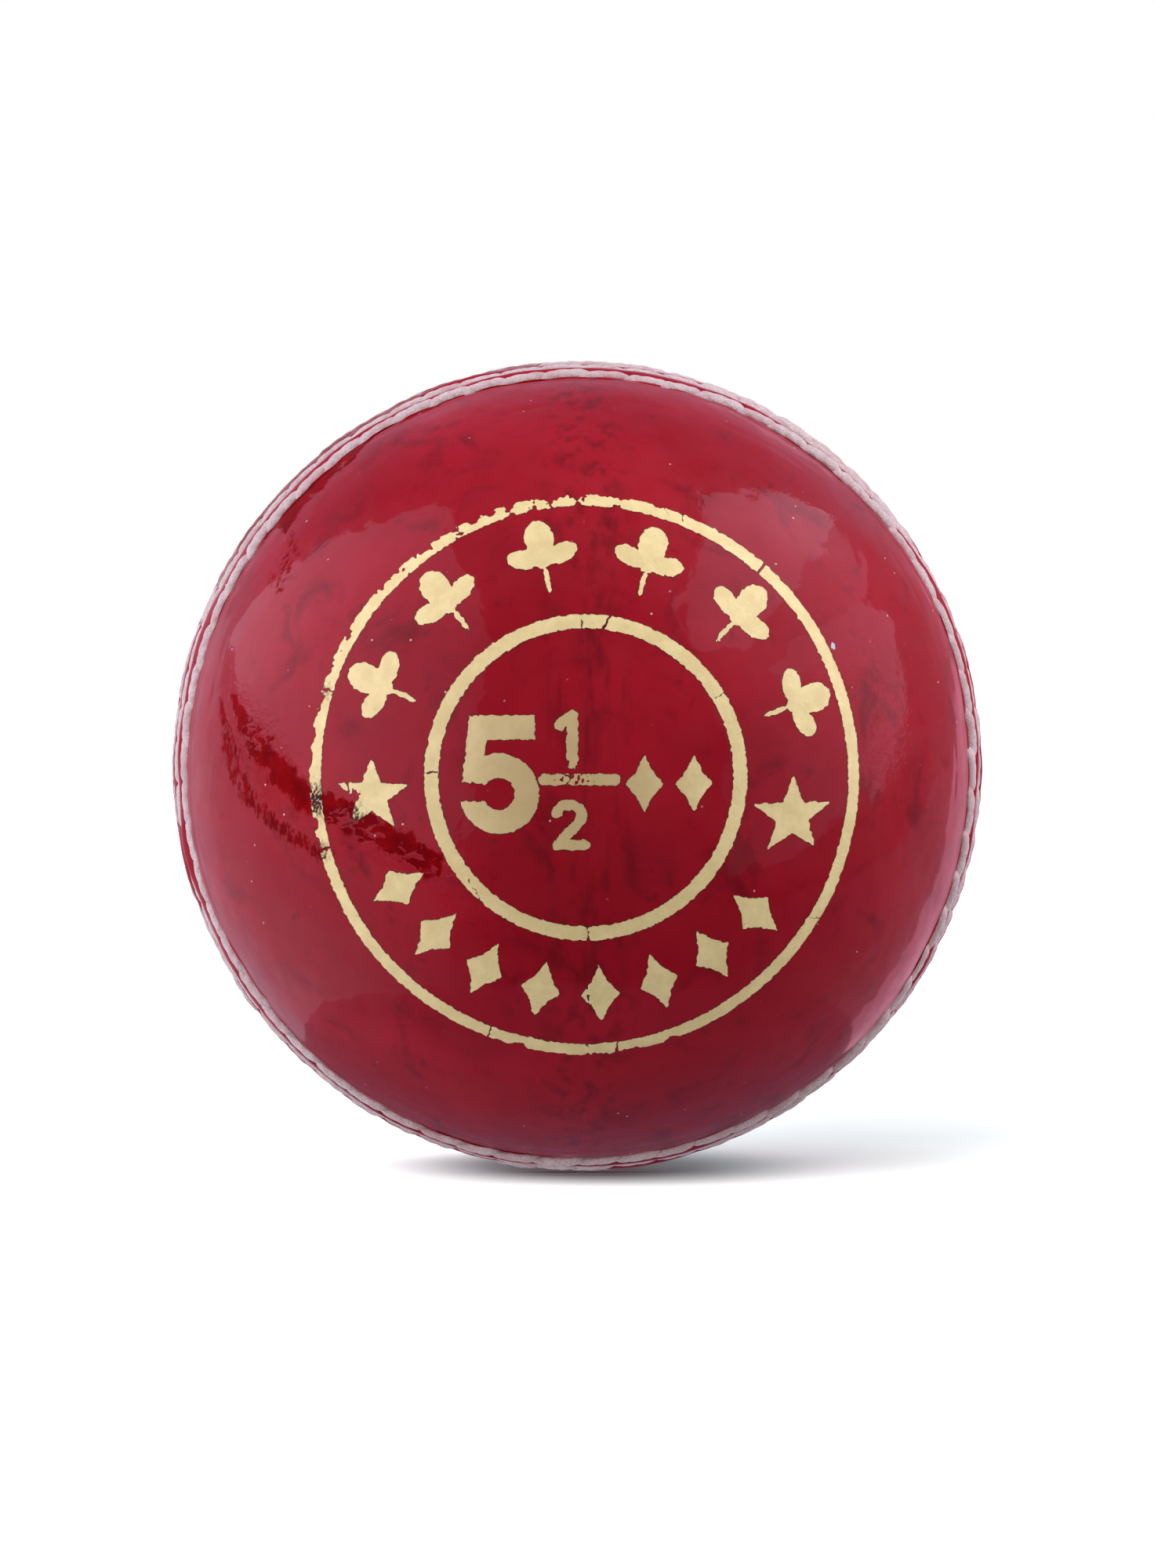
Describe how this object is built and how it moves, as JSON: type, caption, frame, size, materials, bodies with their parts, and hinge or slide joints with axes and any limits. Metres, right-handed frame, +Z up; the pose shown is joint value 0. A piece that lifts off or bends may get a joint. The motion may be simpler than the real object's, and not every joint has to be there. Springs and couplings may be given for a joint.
{
  "type": "cricket ball",
  "caption": "Red leather cricket ball with a raised stitched seam, a gold stamp on one side, and a cork and yarn core.",
  "frame": {"origin": "centre of the ball", "axes": "+Y along the seam's axis, away from the stamped cup, which faces -Y; the seam lies in the XZ plane; +Z up, the way the numerals of the stamp stand; +X to the right of the stamp"},
  "size_m": [0.0726, 0.0718, 0.0726],
  "materials": {
    "red_leather": "glossy lacquered red, mottled",
    "stitch_thread": "waxed pale thread, stained pink by the leather's dye",
    "gold_foil": "hot-stamped gold foil, worn",
    "flax_thread": "waxed flax closing thread",
    "lining_leather": "undyed split leather",
    "cork": "pressed cork",
    "wool_yarn": "tightly wound worsted yarn",
    "cork_rubber": "moulded cork and rubber"
  },
  "bodies": {
    "root": {"closing_thread_back": "flax_thread", "closing_thread_front": "flax_thread", "core_nucleus": "cork_rubber", "cup_lining_back": "lining_leather", "cup_lining_front": "lining_leather", "inner_cork_cup_left": "cork", "inner_cork_cup_right": "cork", "inner_yarn_winding": "wool_yarn", "leather_quarter_back_lower": "red_leather", "leather_quarter_back_upper": "red_leather", "leather_quarter_front_left": "red_leather", "leather_quarter_front_right": "red_leather", "middle_cork_slip_1": "cork", "middle_cork_slip_2": "cork", "middle_cork_slip_3": "cork", "middle_cork_slip_4": "cork", "middle_yarn_winding": "wool_yarn", "outer_cork_slip_1": "cork", "outer_cork_slip_2": "cork", "outer_cork_slip_3": "cork", "outer_cork_slip_4": "cork", "outer_yarn_winding": "wool_yarn", "seam_thread_back_inner": "stitch_thread", "seam_thread_back_middle": "stitch_thread", "seam_thread_back_outer": "stitch_thread", "seam_thread_front_inner": "stitch_thread", "seam_thread_front_middle": "stitch_thread", "seam_thread_front_outer": "stitch_thread", "stamp_diamond_1": "gold_foil", "stamp_diamond_2": "gold_foil", "stamp_diamond_3": "gold_foil", "stamp_diamond_4": "gold_foil", "stamp_diamond_5": "gold_foil", "stamp_diamond_6": "gold_foil", "stamp_diamond_7": "gold_foil", "stamp_diamond_8": "gold_foil", "stamp_five": "gold_foil", "stamp_fraction_bar": "gold_foil", "stamp_one": "gold_foil", "stamp_ring_inner": "gold_foil", "stamp_ring_outer": "gold_foil", "stamp_sprig_1": "gold_foil", "stamp_sprig_2": "gold_foil", "stamp_sprig_3": "gold_foil", "stamp_sprig_4": "gold_foil", "stamp_sprig_5": "gold_foil", "stamp_sprig_6": "gold_foil", "stamp_star_left": "gold_foil", "stamp_star_right": "gold_foil", "stamp_two": "gold_foil", "stamp_unit_mark_1": "gold_foil", "stamp_unit_mark_2": "gold_foil"}
  },
  "joints": []
}
